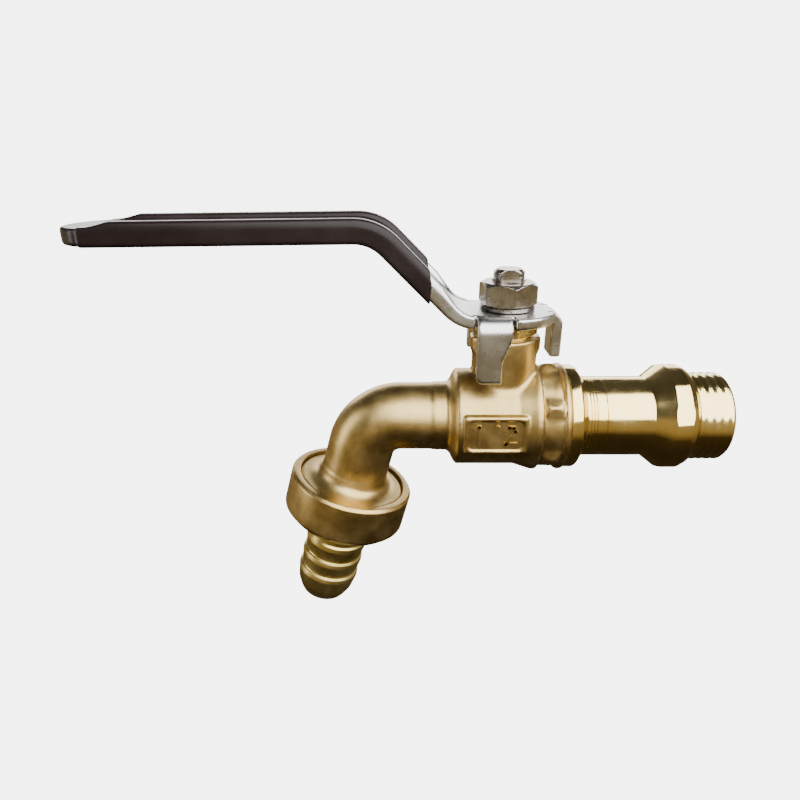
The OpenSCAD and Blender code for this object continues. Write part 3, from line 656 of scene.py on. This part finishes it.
mats = {
    "cast": material("cast_brass_blasted", 1.0, 0.36,
                     [(0.37, 0.255, 0.09), (0.47, 0.335, 0.125), (0.57, 0.42, 0.17)],
                     bump=0.014, bump_scale=2600, noise_scale=160),
    "bright": material("turned_brass", 1.0, 0.15,
                       [(0.70, 0.52, 0.18), (0.78, 0.60, 0.23), (0.85, 0.68, 0.31)],
                       bump=0.004, bump_scale=1500, noise_scale=120, lines=("X", 900, 0.6)),
    "tail": material("barbed_brass", 1.0, 0.33,
                     [(0.60, 0.46, 0.14), (0.70, 0.55, 0.19), (0.78, 0.63, 0.26)],
                     bump=0.006, bump_scale=2000, noise_scale=140),
    "steel": material("zinc_plated_steel", 1.0, 0.27,
                      [(0.42, 0.41, 0.40), (0.52, 0.515, 0.51), (0.60, 0.60, 0.61)],
                      bump=0.008, bump_scale=1400, noise_scale=130),
    "dark_steel": material("oiled_steel", 1.0, 0.26,
                           [(0.26, 0.23, 0.19), (0.36, 0.33, 0.29), (0.46, 0.43, 0.39)],
                           bump=0.008, bump_scale=1600, noise_scale=220),
    "vinyl": material("dipped_vinyl", 0.0, 0.32,
                      [(0.009, 0.005, 0.005), (0.012, 0.007, 0.007), (0.017, 0.011, 0.011)],
                      bump=0.012, bump_scale=260, noise_scale=60, spec=0.2),
    "plastic": material("white_plastic", 0.0, 0.45, [(0.78, 0.77, 0.73), (0.84, 0.83, 0.80)], bump=0.004, bump_scale=900),
    "fibre": material("fibre_ring", 0.0, 0.8, [(0.20, 0.07, 0.04), (0.28, 0.11, 0.06)], bump=0.02, bump_scale=2400),
    "rubber": material("black_rubber", 0.0, 0.6, [(0.012, 0.012, 0.012), (0.022, 0.022, 0.022)], bump=0.01, bump_scale=1200),
    "chrome": material("plated_ball", 1.0, 0.08, [(0.72, 0.72, 0.74), (0.80, 0.80, 0.82)], bump=0.001, bump_scale=800),
}
dress = {
    "tap_body": "cast", "panel_numerals": "cast", "inlet_tailpiece": "bright", "union_nut_visual": "cast", "hose_tail_visual": "tail",
    "lever_steel": "steel", "grip_dip": "vinyl", "lever_nut": "dark_steel", "stem_visual": "dark_steel", "split_washer": "dark_steel",
    "packing_nut_visual": "bright",
    "joint_ring": "fibre", "outlet_seat": "plastic", "inlet_seat": "plastic", "ball": "chrome", "stem_ring": "rubber",
    "thrust_washer": "plastic", "lower_packing": "plastic", "upper_packing": "plastic", "gland_ring": "bright", "hose_washer": "rubber",
}
for name, key in dress.items():
    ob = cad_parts.get(name) or bpy.data.objects[name]
    ob.data.materials.clear()
    ob.data.materials.append(mats[key])


# ---------- floor, backdrop, lights, camera ----------
def stage_mesh(name, verts, faces, color, rough, emit):
    me = bpy.data.meshes.new(name)
    me.from_pydata(verts, [], faces)
    me.update()
    ob = bpy.data.objects.new(name, me)
    bpy.context.scene.collection.objects.link(ob)
    m = bpy.data.materials.new(name + "_paint")
    m.use_nodes = True
    b = m.node_tree.nodes["Principled BSDF"]
    b.inputs["Base Color"].default_value = (*color, 1)
    b.inputs["Roughness"].default_value = rough
    b.inputs["Emission Color"].default_value = (1, 1, 1, 1)
    b.inputs["Emission Strength"].default_value = emit
    me.materials.append(m)
    return ob


seg = 96
floor = stage_mesh("floor", [(5 * cos(2 * pi * k / seg), 5 * sin(2 * pi * k / seg), -0.16) for k in range(seg)],
                   [list(range(seg))], (0.05, 0.05, 0.05), 1.0, 5.6)
floor.visible_glossy = floor.visible_diffuse = False
rows = 24
verts, faces = [], []
for i in range(rows + 1):
    e = -0.2 + (pi / 2 + 0.2) * i / rows
    for k in range(seg):
        verts.append((5.2 * cos(e) * cos(2 * pi * k / seg), 5.2 * cos(e) * sin(2 * pi * k / seg), 5.2 * sin(e)))
for i in range(rows):
    for k in range(seg):
        faces.append([i * seg + k, i * seg + (k + 1) % seg, (i + 1) * seg + (k + 1) % seg, (i + 1) * seg + k])
dome = stage_mesh("backdrop", verts, faces, (0.05, 0.05, 0.05), 1.0, 5.6)
dome.visible_glossy = dome.visible_diffuse = dome.visible_shadow = False

world = bpy.data.worlds.new("studio")
bpy.context.scene.world = world
world.use_nodes = True
nt = world.node_tree
bg = nt.nodes["Background"]
co = nt.nodes.new("ShaderNodeTexCoord")
sep = nt.nodes.new("ShaderNodeSeparateXYZ")
ramp = nt.nodes.new("ShaderNodeValToRGB")
mr = nt.nodes.new("ShaderNodeMapRange")
mr.inputs["From Min"].default_value, mr.inputs["From Max"].default_value = -1, 1
nt.links.new(co.outputs["Generated"], sep.inputs["Vector"])
nt.links.new(sep.outputs["Z"], mr.inputs["Value"])
nt.links.new(mr.outputs["Result"], ramp.inputs["Fac"])
nt.links.new(ramp.outputs["Color"], bg.inputs["Color"])
els = ramp.color_ramp.elements
els[0].position, els[1].position = 0.0, 1.0
els[0].color = (0.03, 0.022, 0.014, 1)
els[1].color = (0.05, 0.05, 0.05, 1)
for place, color in ((0.24, (0.05, 0.034, 0.018)), (0.36, (0.40, 0.30, 0.14)), (0.52, (0.50, 0.41, 0.24)),
                     (0.62, (0.12, 0.11, 0.10))):
    e = els.new(place)
    e.color = (*color, 1)
bg.inputs["Strength"].default_value = 1.0


def area(name, azimuth, elevation, distance, width, height, power, color=(1, 1, 1)):
    """Soft light aimed at the tap; azimuth 0 is in front, towards +X positive."""
    a, e = radians(azimuth), radians(elevation)
    ld = bpy.data.lights.new(name, "AREA")
    ld.shape = "RECTANGLE"
    ld.size, ld.size_y, ld.energy, ld.color = width, height, power, color
    ob = bpy.data.objects.new(name, ld)
    bpy.context.scene.collection.objects.link(ob)
    back = Vector((sin(a) * cos(e), -cos(a) * cos(e), sin(e)))
    ob.location = Vector((-0.06, 0, 0)) + back * distance
    ob.rotation_mode = "QUATERNION"
    ob.rotation_quaternion = (-back).to_track_quat("-Z", "Y")
    return ob


area("key", 36, 42, 0.9, 1.75, 1.1, 44)
area("back", 180, 14, 1.3, 1.8, 0.55, 13)
area("left_rim", -80, 12, 1.0, 0.35, 0.8, 4)

cam = bpy.data.cameras.new("camera")
cam.lens, cam.sensor_width = 27.9, 36
camera = bpy.data.objects.new("camera", cam)
bpy.context.scene.collection.objects.link(camera)
camera.location = ((STEM_X - 24.1) * 0.001, -0.1375, 0.0594)
camera.rotation_euler = (radians(90 - 21.95), 0, 0)
cam.clip_start = 0.01
bpy.context.scene.camera = camera
